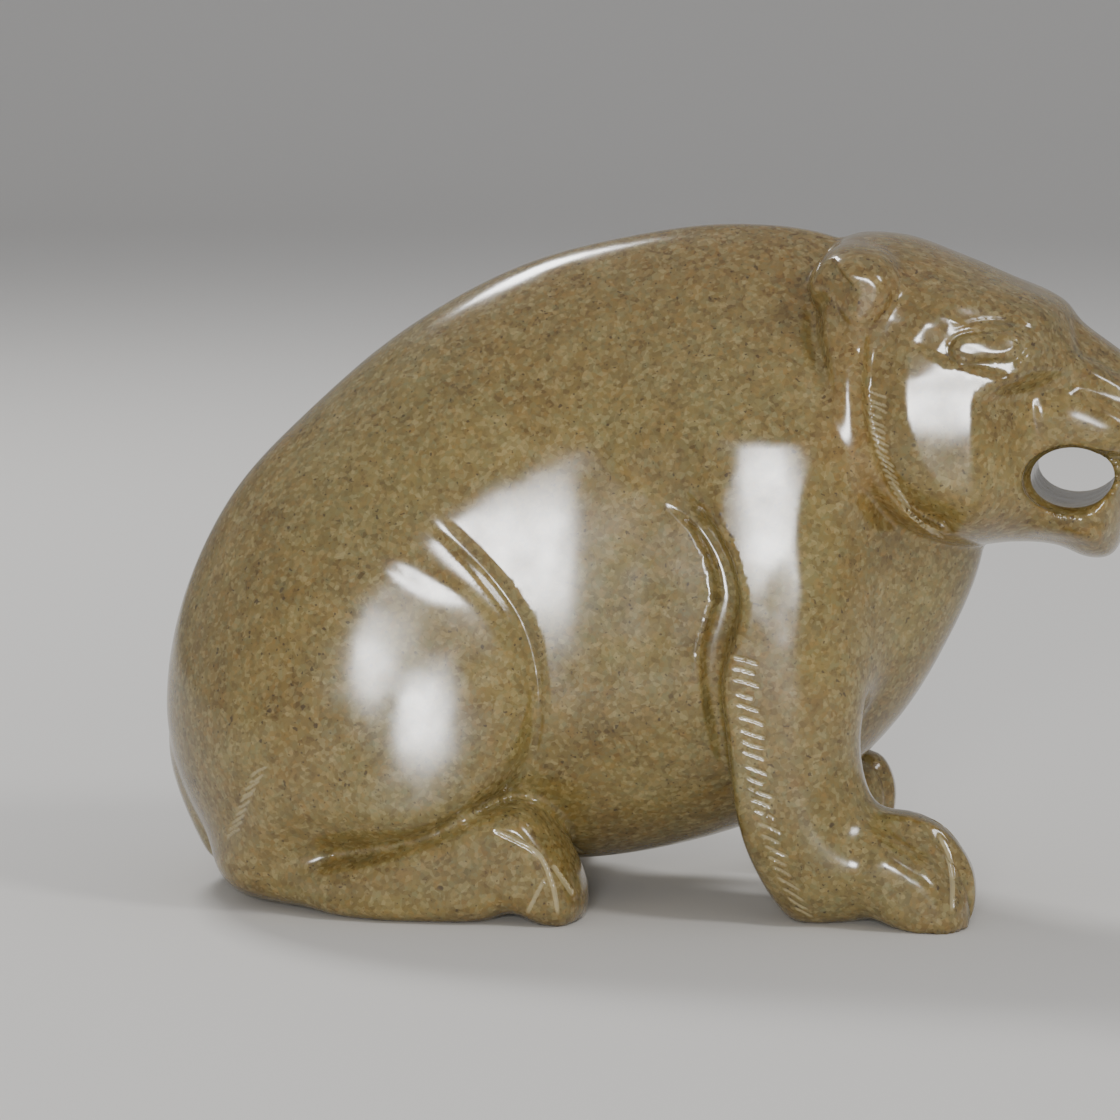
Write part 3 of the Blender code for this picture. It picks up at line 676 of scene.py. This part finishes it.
@dataclass
class Bear:
    """All forms of the bear, as one field that is negative inside the stone.

    Attributes:
        trunk: The trunk.
        skull: The head.
        ears: The ears.
        front_legs: The front legs.
        hind_feet: The hind feet.
        tail: The tail's outline.
        hairs: The short strokes that are cut in last.
    """

    trunk: Trunk = field(default_factory=Trunk)
    skull: Skull = field(default_factory=Skull)
    ears: Ears = field(default_factory=Ears)
    front_legs: FrontLegs = field(default_factory=FrontLegs)
    hind_feet: HindFeet = field(default_factory=HindFeet)
    tail: Outline = field(default_factory=lambda: Outline(TAIL, 0.3))
    hairs: list[Stroke] = field(default_factory=list)

    def __post_init__(self) -> None:
        """Cuts the rows of hair strokes and the lines of the claws."""
        rng = np.random.default_rng(HAIR_SEED)
        self.hairs = [stroke for row in HATCHES for stroke in row.strokes(rng)] + CLAW_LINES

    def level(self, x: Array, y: Array, z: Array) -> Array:
        """The field of the stone without its hair strokes at each place."""
        across = np.abs(y)
        stone = self.trunk.level(x, y, z)
        chest = 2.6 * ramp(x, 11.0, 15.0) * ramp(z, 14, 20)
        stone = joined(stone, self.front_legs.level(x, y, z), 0.6 + chest + 4.5 * ramp(z, 26, 46))
        stone = joined(stone, self.hind_feet.level(x, y, z), 0.5 + 3.8 * ramp(-x, 25, 31))
        stone = joined(stone, self.skull.level(x, y, z), 0.6)
        stone = joined(stone, self.ears.level(x, y, z), 0.4 + 1.6 * ramp(-z, -48.5, -46.5))
        stone = joined(stone, swelled(self.tail.distance(x, z), across, TAIL_WIDTH, TAIL_RIM), 1.0)
        (hx, hz), (rx, rz) = MOUTH_HOLE
        hole = (np.hypot((x - hx) / rx, (z - hz) / rz) - 1) * min(rx, rz) - 0.4 * ramp(across, *LIPS_FLANK)
        stone = -joined(-stone, hole, 0.3)
        return np.maximum(stone, -z)

    def cuts(self, x: Array, y: Array, z: Array) -> Array:
        """How far the hair strokes lift the surface at each place: it is negative in a stroke."""
        return ramp(np.abs(y), *HAIR_FLANK) * sum(stroke.rise(x, y, z) for stroke in self.hairs)

    def hair_depth(self, x: Array, y: Array, z: Array) -> Array:
        """The depth of the hair strokes at each place, from 0 to 1."""
        return np.clip(-self.cuts(x, y, z) / HATCHES[0].depth, 0, 1)

    def with_hairs(self, x: Array, y: Array, z: Array) -> Array:
        """The field of the whole carving at each place."""
        return self.level(x, y, z) - self.cuts(x, y, z)

    def fineness(self, points: Array) -> Array:
        """The longest edge that the carving wants at each place."""
        x, y, z = points.T
        wanted = np.full(len(points), SKIN_STEP)
        wanted[(x > HEAD_CORNER[0]) & (z > HEAD_CORNER[1])] = HEAD_STEP
        for stroke in [*BODY_STROKES, *FACE_STROKES[:2]]:
            gap, _ = distance_to(through(stroke.points, False), x, z)
            wanted[(gap < min(stroke.width, 1.2) + 0.7) & (np.abs(y) > CREASE_FLANK)] = CREASE_STEP
        for stroke in FACE_LINES:
            gap, _ = distance_to(through(stroke.points, False), x, z)
            wanted[(gap < stroke.width + 0.3) & (np.abs(y) > EYE_FLANK)] = EYE_STEP
        outside = np.abs(y) > HAIR_FLANK[0]
        for stroke in self.hairs:
            low = np.min(stroke.points, axis=0) - 1
            high = np.max(stroke.points, axis=0) + 1
            boxed = (x > low[0]) & (x < high[0]) & (z > low[1]) & (z < high[1])
            near = np.flatnonzero(boxed & outside)
            gap, _ = distance_to(through(stroke.points, False, 2), x[near], z[near])
            wanted[near[gap < stroke.width + 0.1]] = HAIR_STEP
        return wanted


def slopes(level: Field, points: Array, reach: float = 0.04) -> tuple[Array, Array]:
    """The field's value at each point, and its gradient."""
    value = level(*points.T)
    gradient = np.empty_like(points)
    for axis in range(3):
        moved = points.copy()
        moved[:, axis] += reach
        gradient[:, axis] = (level(*moved.T) - value) / reach
    return value, gradient


def drawn_on(level: Field, points: Array, rounds: int) -> Array:
    """The points moved onto the surface, each along the field's own gradient."""
    for _ in range(rounds):
        value, gradient = slopes(level, points)
        square = np.maximum((gradient**2).sum(axis=1), 0.09)
        points = points - gradient * (np.clip(value, -0.8, 0.8) / square)[:, None]
    points[:, 2] = np.maximum(points[:, 2], 0)
    return points


@dataclass
class Skin:
    """The bear's skin: one closed mesh that is made finer where the carving is fine.

    Attributes:
        bear: The forms that it is drawn onto.
        mesh: The mesh.
    """

    bear: Bear
    mesh: bmesh.types.BMesh

    def places(self) -> Array:
        """The places of the mesh's vertices."""
        return np.array([v.co for v in self.mesh.verts])

    def move(self, points: Array) -> None:
        """Puts the mesh's vertices at these places."""
        for v, place in zip(self.mesh.verts, points.tolist()):
            v.co = place

    def evened(self, points: Array, share: float) -> Array:
        """Each point moved by a share of the way to the mean of its neighbours."""
        edges = np.array([[v.index for v in edge.verts] for edge in self.mesh.edges])
        total = np.zeros_like(points)
        count = np.zeros(len(points))
        for one, other in (edges.T, edges.T[::-1]):
            for axis in range(3):
                total[:, axis] += np.bincount(one, points[other, axis], len(points))
            count += np.bincount(one, minlength=len(points))
        return points + share * (total / count[:, None] - points)

    def settle(self, shares: Sequence[float]) -> None:
        """Draws the whole skin onto the forms, and evens it out by each share on the way."""
        self.mesh.verts.index_update()
        points = drawn_on(self.bear.level, self.places(), 2)
        for share in shares:
            points = drawn_on(self.bear.level, self.evened(points, share), 1)
        self.move(points)

    def refine(self) -> int:
        """Halves the edges that are too long for the carving round them.

        Returns:
            How many there were.
        """
        self.mesh.verts.index_update()
        wanted = self.bear.fineness(self.places())
        long = []
        for edge in self.mesh.edges:
            a, b = edge.verts
            if edge.calc_length() > TOO_LONG * min(wanted[a.index], wanted[b.index]):
                long.append(edge)
        if long:
            bmesh.ops.subdivide_edges(self.mesh, edges=long, cuts=1, use_grid_fill=True)
            bmesh.ops.triangulate(self.mesh, faces=[f for f in self.mesh.faces if len(f.verts) > 3])
        return len(long)

    def engrave(self) -> None:
        """Cuts the hair strokes: only the vertices near one move. Each keeps its share of a full cut."""
        points = self.places()
        near = self.bear.fineness(points) <= HAIR_STEP
        depth = np.zeros(len(points))
        depth[near] = self.bear.hair_depth(*points[near].T)
        points[near] = drawn_on(self.bear.with_hairs, points[near], 3)
        self.move(points)
        layer = self.mesh.verts.layers.float.new(HAIR_LAYER)
        for v, share in zip(self.mesh.verts, depth.tolist()):
            v[layer] = share


def linear(colour: str) -> tuple[float, float, float, float]:
    """A colour's linear values from its sRGB hex, as a shader takes them."""
    parts = [int(colour[i : i + 2], 16) / 255 for i in (1, 3, 5)]
    red, green, blue = (c / 12.92 if c <= 0.04045 else ((c + 0.055) / 1.055) ** 2.4 for c in parts)
    return red, green, blue, 1.0


def millimetres(values: Sequence[float]) -> tuple[float, ...]:
    """Lengths on the bear, in metres."""
    return tuple(value * UNIT for value in values)


class Nodes:
    """A material's node tree, filled one node at a time."""

    def __init__(self, name: str) -> None:
        """Makes the material, empty but for its output.

        Args:
            name: The material's name.
        """
        self.material = bpy.data.materials.new(name)
        self.material.use_nodes = True
        self.tree = self.material.node_tree
        self.tree.nodes.clear()

    def add(self, kind: str, settings: dict[str, object] | None = None, **inputs: object) -> bpy.types.Node:
        """Adds a node.

        Args:
            kind: The node's type.
            settings: Its own properties.
            inputs: What goes into each socket, named with _ for a space: a socket to link, or a constant.

        Returns:
            The node.
        """
        node = self.tree.nodes.new(kind)
        for key, value in (settings or {}).items():
            setattr(node, key, value)
        for key, value in inputs.items():
            index = int(key[1:]) if key[0] == "_" else key.replace("_", " ")
            if isinstance(value, Socket):
                self.tree.links.new(value, node.inputs[index])
            else:
                node.inputs[index].default_value = value
        return node

    def ramp(self, value: Socket, stops: Sequence[tuple[float, str]]) -> Socket:
        """Adds a colour ramp over a value, and gives its colour."""
        node = self.add("ShaderNodeValToRGB", None, Fac=value)
        elements = node.color_ramp.elements
        while len(elements) < len(stops):
            elements.new(0.5)
        for element, (position, colour) in zip(elements, stops):
            element.position = position
            element.color = linear(colour)
        return node.outputs["Color"]

    def mix(self, share: object, one: object, other: object) -> Socket:
        """Adds a mix of two colours, and gives its colour."""
        node = self.add("ShaderNodeMix", {"data_type": "RGBA"}, _0=share, _6=one, _7=other)
        return node.outputs[2]

    def share(self, value: Socket, span: Sequence[float], most: float = 1.0, least: float = 0.0) -> Socket:
        """Adds a share that runs from least to most while a value crosses its span."""
        low, high = span
        node = self.add(
            "ShaderNodeMapRange", None, Value=value, From_Min=low, From_Max=high, To_Min=least, To_Max=most
        )
        return node.outputs[0]

    def math(self, operation: str, *values: object) -> Socket:
        """Adds a sum of numbers, and gives its result."""
        inputs = {f"_{k}": value for k, value in enumerate(values)}
        return self.add("ShaderNodeMath", {"operation": operation}, **inputs).outputs[0]

    def vector(self, operation: str, *values: object) -> bpy.types.Node:
        """Adds a sum of vectors."""
        inputs = {f"_{k}": value for k, value in enumerate(values)}
        return self.add("ShaderNodeVectorMath", {"operation": operation}, **inputs)

    def along(self, place: Socket, axis: str) -> Socket:
        """Adds a place's coordinate along an axis."""
        return self.add("ShaderNodeSeparateXYZ", None, Vector=place).outputs[axis]

    def noise(self, place: Socket, size: float, detail: float) -> Socket:
        """Adds a noise whose lumps have the given size, in millimetres."""
        node = self.add("ShaderNodeTexNoise", None, Vector=place, Scale=1000 / size, Detail=detail)
        return node.outputs["Fac"]


@dataclass(frozen=True)
class JadeFinish:
    """The polished, speckled jade. Sizes are in millimetres.

    Attributes:
        ground: Its main colours, from the dark ones to the light ones.
        ground_size: How large their patches are.
        sway: How far the patches and the grains are bent out of shape, in metres.
        grains: Its grains' colours, each from the share of them where it starts.
        grain_sizes: Each kind of grain's size, and how far it covers the ground.
        clouds: The wide clouds: each one's size, colour and the share of it that shows.
        cloud_span: The noise levels that a cloud starts and is full at.
        plum: The purplish brown on top of the back, its share, and the heights that it starts and is full at.
        painted_glow: The painted glow of light through the thin ruff and ears, with their painted shade, as
            one colour, and its share.
        ring: The middle, in the side view, and the radius of the ring that they lie on.
        ring_fade: How far off the ring the glow is gone, and how far off it is full.
        ring_end: The places along the bear between which the ring fades out in front.
        specks: The dark specks' sizes, and the noise level that each starts at.
        speck: Their colour, and its share.
        hair: The ground stone in the hair strokes, and its share.
        polish: The roughness, from the best places to the dullest.
        ior: How much the stone bends light.
        glow: How far light of each colour goes into the stone, in metres.
    """

    ground: tuple[tuple[float, str], ...] = (
        (0.32, "#54411e"),
        (0.45, "#6b562a"),
        (0.56, "#7e6b38"),
        (0.68, "#8e7c46"),
    )
    ground_size: float = 7.0
    sway: tuple[float, float] = (0.0016, 0.0004)
    grains: tuple[tuple[float, str], ...] = (
        (0.0, "#4c381c"),
        (0.22, "#77673c"),
        (0.45, "#89743f"),
        (0.62, "#7b7c57"),
        (0.76, "#97743a"),
        (0.90, "#ab9c6b"),
    )
    grain_sizes: tuple[tuple[float, float], ...] = ((1.2, 0.20), (0.6, 0.32), (0.33, 0.30))
    clouds: tuple[tuple[float, str, float], ...] = ((17.0, "#6e4d22", 0.55), (13.0, "#74734f", 0.60))
    cloud_span: tuple[float, float] = (0.46, 0.68)
    plum: tuple[str, float, float, float] = ("#573c2f", 0.75, 38.0, 55.0)
    # painted glow and shade: light through the thin ruff and ear rims, painted as an orange-brown colour
    painted_glow: tuple[str, float] = ("#8f6022", 0.6)
    ring: tuple[float, float, float] = (26.0, 42.0, 12.2)
    ring_fade: tuple[float, float] = (2.4, 0.3)
    ring_end: tuple[float, float] = (26.0, 21.0)
    specks: tuple[tuple[float, float], ...] = ((0.6, 0.71), (1.3, 0.76), (0.35, 0.69))
    speck: tuple[str, float] = ("#392c20", 0.7)
    hair: tuple[str, float] = ("#bcae84", 0.65)
    polish: tuple[float, float] = (0.13, 0.21)
    ior: float = 1.62
    glow: tuple[float, float, float] = (0.0016, 0.0009, 0.0004)

    def painted_glow_share(self, n: Nodes, place: Socket) -> Socket:
        """Adds the share of painted glow, where light through the thin ruff and ears and their shade are
        painted as colour: it is most on the ring that the ruff and the ear's rim run along.
        """
        x, z, radius = self.ring
        side = n.vector("MULTIPLY", place, (1.0, 0.0, 1.0)).outputs["Vector"]
        away = n.vector("DISTANCE", side, ((x - MIDDLE_X) * UNIT, 0.0, z * UNIT)).outputs["Value"]
        gap = n.math("ABSOLUTE", n.math("SUBTRACT", away, radius * UNIT))
        near = n.share(gap, millimetres(self.ring_fade), self.painted_glow[1])
        return n.math("MULTIPLY", near, n.share(n.along(place, "X"), millimetres(self.ring_end)))

    def ground_colour(self, n: Nodes, place: Socket, sway: Socket) -> Socket:
        """Adds the stone's colour without its grains: patches, clouds, the painted glow and shade of the thin
        ruff and ears, and the back's plum.
        """
        bent = n.vector("MULTIPLY_ADD", sway, (self.sway[0],) * 3, place).outputs["Vector"]
        colour = n.ramp(n.noise(bent, self.ground_size, 7.0), self.ground)
        for size, tint, most in self.clouds:
            cloud = n.share(n.noise(place, size, 5.0), self.cloud_span, most)
            colour = n.mix(cloud, colour, linear(tint))
        # painted glow and shade: light through the thin ruff and ear rims, painted over the stone as an
        # orange-brown colour
        colour = n.mix(self.painted_glow_share(n, place), colour, linear(self.painted_glow[0]))
        tint, most, *heights = self.plum
        return n.mix(n.share(n.along(bent, "Z"), millimetres(heights), most), colour, linear(tint))

    def grainy(self, n: Nodes, colour: Socket, place: Socket, sway: Socket) -> Socket:
        """Adds the grains and the dark specks over a colour."""
        bent = n.vector("MULTIPLY_ADD", sway, (self.sway[1],) * 3, place).outputs["Vector"]
        for size, cover in self.grain_sizes:
            cells = n.add("ShaderNodeTexVoronoi", None, Vector=bent, Scale=1000 / size, Randomness=1.0)
            kind = n.add("ShaderNodeSeparateColor", None, Color=cells.outputs["Color"]).outputs["Red"]
            colour = n.mix(cover, colour, n.ramp(kind, self.grains))
        tint, most = self.speck
        for size, start in self.specks:
            dark = n.share(n.noise(bent, size, 1.5), (start, start + 0.04), most)
            colour = n.mix(dark, colour, linear(tint))
        return colour

    def material(self) -> bpy.types.Material:
        """Builds the material."""
        n = Nodes("polished_jade")
        place = n.add("ShaderNodeTexCoord").outputs["Object"]
        sway = n.add("ShaderNodeTexNoise", None, Vector=place, Scale=400.0, Detail=3.0).outputs["Color"]
        colour = self.grainy(n, self.ground_colour(n, place, sway), place, sway)
        cut = n.add("ShaderNodeAttribute", {"attribute_name": HAIR_LAYER}).outputs["Fac"]
        tint, most = self.hair
        colour = n.mix(n.share(cut, (0.1, 0.8), most), colour, linear(tint))
        best, dullest = self.polish
        shader = n.add(
            "ShaderNodeBsdfPrincipled",
            None,
            Base_Color=colour,
            Roughness=n.share(n.noise(place, 2.5, 4.0), (0.3, 0.7), dullest, best),
            IOR=self.ior,
            Subsurface_Weight=0.20,
            Subsurface_Radius=self.glow,
            Subsurface_Scale=1.0,
        )
        n.add("ShaderNodeOutputMaterial", None, Surface=shader.outputs[0])
        return n.material


def linked(name: str, data: bpy.types.ID) -> bpy.types.Object:
    """A new object of the scene, with this data."""
    made = bpy.data.objects.new(name, data)
    bpy.context.scene.collection.objects.link(made)
    return made


def towards(azimuth: float, elevation: float) -> Vector:
    """The direction at an azimuth, from -Y and positive towards +X, and a height angle, in degrees."""
    a, e = math.radians(azimuth), math.radians(elevation)
    return Vector((math.sin(a) * math.cos(e), -math.cos(a) * math.cos(e), math.sin(e)))


@dataclass(frozen=True)
class FloorFinish:
    """The plain pale floor of the studio."""

    colour: str = "#dddbd7"
    roughness: float = 0.75

    def material(self) -> bpy.types.Material:
        """Builds the material."""
        n = Nodes("matt_board")
        paint = linear(self.colour)
        shader = n.add("ShaderNodeBsdfPrincipled", None, Base_Color=paint, Roughness=self.roughness)
        n.add("ShaderNodeOutputMaterial", None, Surface=shader.outputs[0])
        return n.material


@dataclass(frozen=True)
class SoftBox:
    """A rectangular lamp that looks at the carving.

    Attributes:
        name: Its name.
        azimuth: Its direction round the carving, in degrees from -Y, positive towards +X.
        elevation: Its height angle, in degrees.
        width: Its width, in metres.
        height: Its height, in metres.
        power: Its power, in watts.
    """

    name: str
    azimuth: float
    elevation: float
    width: float
    height: float
    power: float

    def build(self, aim: Vector, distance: float = 0.6) -> bpy.types.Object:
        """Makes the lamp.

        Args:
            aim: Where it looks.
            distance: How far from there it hangs.

        Returns:
            The lamp.
        """
        out = towards(self.azimuth, self.elevation)
        light = bpy.data.lights.new(self.name, "AREA")
        light.shape = "RECTANGLE"
        light.size, light.size_y, light.energy = self.width, self.height, self.power
        lamp = linked(self.name, light)
        lamp.location = aim + out * distance
        lamp.rotation_euler = out.to_track_quat("Z", "Y").to_euler()
        return lamp


@dataclass
class Studio:
    """The floor, the lamps and the camera.

    Attributes:
        azimuth: The camera's direction, in degrees.
        elevation: Its height angle, in degrees.
        distance: Its distance from what it looks at, in metres.
        lens: Its lens, in millimetres on a 36 mm sensor.
        target: What it looks at, in metres.
        lamps: The lamps.
        sky: The colour and strength of the light from all round.
        sweep: How far behind the carving the floor turns up, and the radius of the turn, in metres.
        floor_front: How far the floor reaches towards the camera.
        floor_side: How far it reaches to each side.
        wall_height: How high the wall behind it is.
    """

    azimuth: float = 8.0
    elevation: float = 7.0
    distance: float = 0.42
    lens: float = 168.75
    target: Vector = field(default_factory=lambda: Vector((-0.00709, -0.012, 0.0287)))
    lamps: tuple[SoftBox, ...] = (
        SoftBox("lamp_front", 4.0, 10.0, 0.11, 0.10, 1.75),
        SoftBox("lamp_back", -146.0, 46.0, 0.13, 0.12, 1.7),
        SoftBox("lamp_right", 62.0, 40.0, 0.10, 0.14, 1.0),
    )
    sky: tuple[str, float] = ("#d9dade", 0.58)
    sweep: tuple[float, float] = (0.9, 0.5)
    floor_front: float = 1.2
    floor_side: float = 2.5
    wall_height: float = 2.0

    def floor(self) -> None:
        """Lays the floor, which turns up into a wall behind the carving."""
        back, radius = self.sweep
        turn = [math.radians(90 * k / 16) for k in range(17)]
        profile = [(-self.floor_front, 0.0)]
        profile += [(back + radius * math.sin(a), radius * (1 - math.cos(a))) for a in turn]
        profile += [(back + radius, self.wall_height)]
        mesh = bmesh.new()
        line = [mesh.verts.new((-self.floor_side, y, z)) for y, z in profile]
        edges = [mesh.edges.new(pair) for pair in zip(line, line[1:])]
        grown = bmesh.ops.extrude_edge_only(mesh, edges=edges)["geom"]
        moved = [v for v in grown if isinstance(v, bmesh.types.BMVert)]
        bmesh.ops.translate(mesh, vec=(2 * self.floor_side, 0.0, 0.0), verts=moved)
        for face in mesh.faces:
            face.smooth = True
        data = bpy.data.meshes.new("floor")
        mesh.to_mesh(data)
        mesh.free()
        data.materials.append(FloorFinish().material())
        floor = linked("floor", data)

    def camera(self) -> None:
        """Sets up the camera."""
        back = towards(self.azimuth, self.elevation)
        data = bpy.data.cameras.new("camera")
        data.lens, data.sensor_width = self.lens, 36.0
        data.clip_start, data.clip_end = 0.01, 10.0
        camera = linked("camera", data)
        camera.location = self.target + back * self.distance
        camera.rotation_euler = back.to_track_quat("Z", "Y").to_euler()
        bpy.context.scene.camera = camera

    def build(self) -> None:
        """Makes the whole studio."""
        self.floor()
        for lamp in self.lamps:
            lamp.build(self.target)
        colour, strength = self.sky
        world = bpy.data.worlds.new("studio")
        world.use_nodes = True
        background = world.node_tree.nodes["Background"]
        background.inputs["Color"].default_value = linear(colour)
        background.inputs["Strength"].default_value = strength
        bpy.context.scene.world = world
        self.camera()


def reskinned(mesh: bpy.types.Mesh, step: float) -> bpy.types.Mesh:
    """One even closed skin round a mesh, with the given spacing."""
    work = linked("work", mesh)
    skin = work.modifiers.new("skin", "REMESH")
    skin.mode = "VOXEL"
    skin.voxel_size = step
    graph = bpy.context.evaluated_depsgraph_get()
    made = bpy.data.meshes.new_from_object(work.evaluated_get(graph))
    bpy.data.objects.remove(work)
    return made


def carving(solid: bpy.types.Object) -> bpy.types.Object:
    """The carved bear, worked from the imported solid.

    Args:
        solid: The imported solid's object.

    Returns:
        The carving, in metres, with its origin where the solid has its own.
    """
    rough = solid.data.copy()
    for v in rough.vertices:
        v.co = (v.co.x / UNIT + MIDDLE_X, v.co.y / UNIT, v.co.z / UNIT)
    even = reskinned(rough, SKIN_STEP)
    mesh = bmesh.new()
    mesh.from_mesh(even)
    bmesh.ops.triangulate(mesh, faces=mesh.faces)
    skin = Skin(Bear(), mesh)
    skin.settle(FIRST_SHARES)
    for share in FINER_SHARES:
        if not skin.refine():
            break
        skin.settle([share] if share else [])
    skin.engrave()
    for v in mesh.verts:
        v.co = ((v.co.x - MIDDLE_X) * UNIT, v.co.y * UNIT, v.co.z * UNIT)
    bmesh.ops.recalc_face_normals(mesh, faces=mesh.faces)
    for face in mesh.faces:
        face.smooth = True
    LOG.info("the carving has %d triangles", len(mesh.faces))
    if len(mesh.faces) > MOST_TRIANGLES:
        raise ValueError(f"the carving has {len(mesh.faces)} triangles")
    data = bpy.data.meshes.new("bear_carving")
    mesh.to_mesh(data)
    mesh.free()
    carved = linked("bear_carving", data)
    data.materials.append(JadeFinish().material())
    return carved


def main() -> None:
    """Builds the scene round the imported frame."""
    logging.basicConfig(level=logging.INFO)
    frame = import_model()
    bear = carving(frame["nodes"]["jade_bear"])
    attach(bear, "root")
    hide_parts("jade_bear")
    Studio().build()


if __name__ == "__main__":
    main()
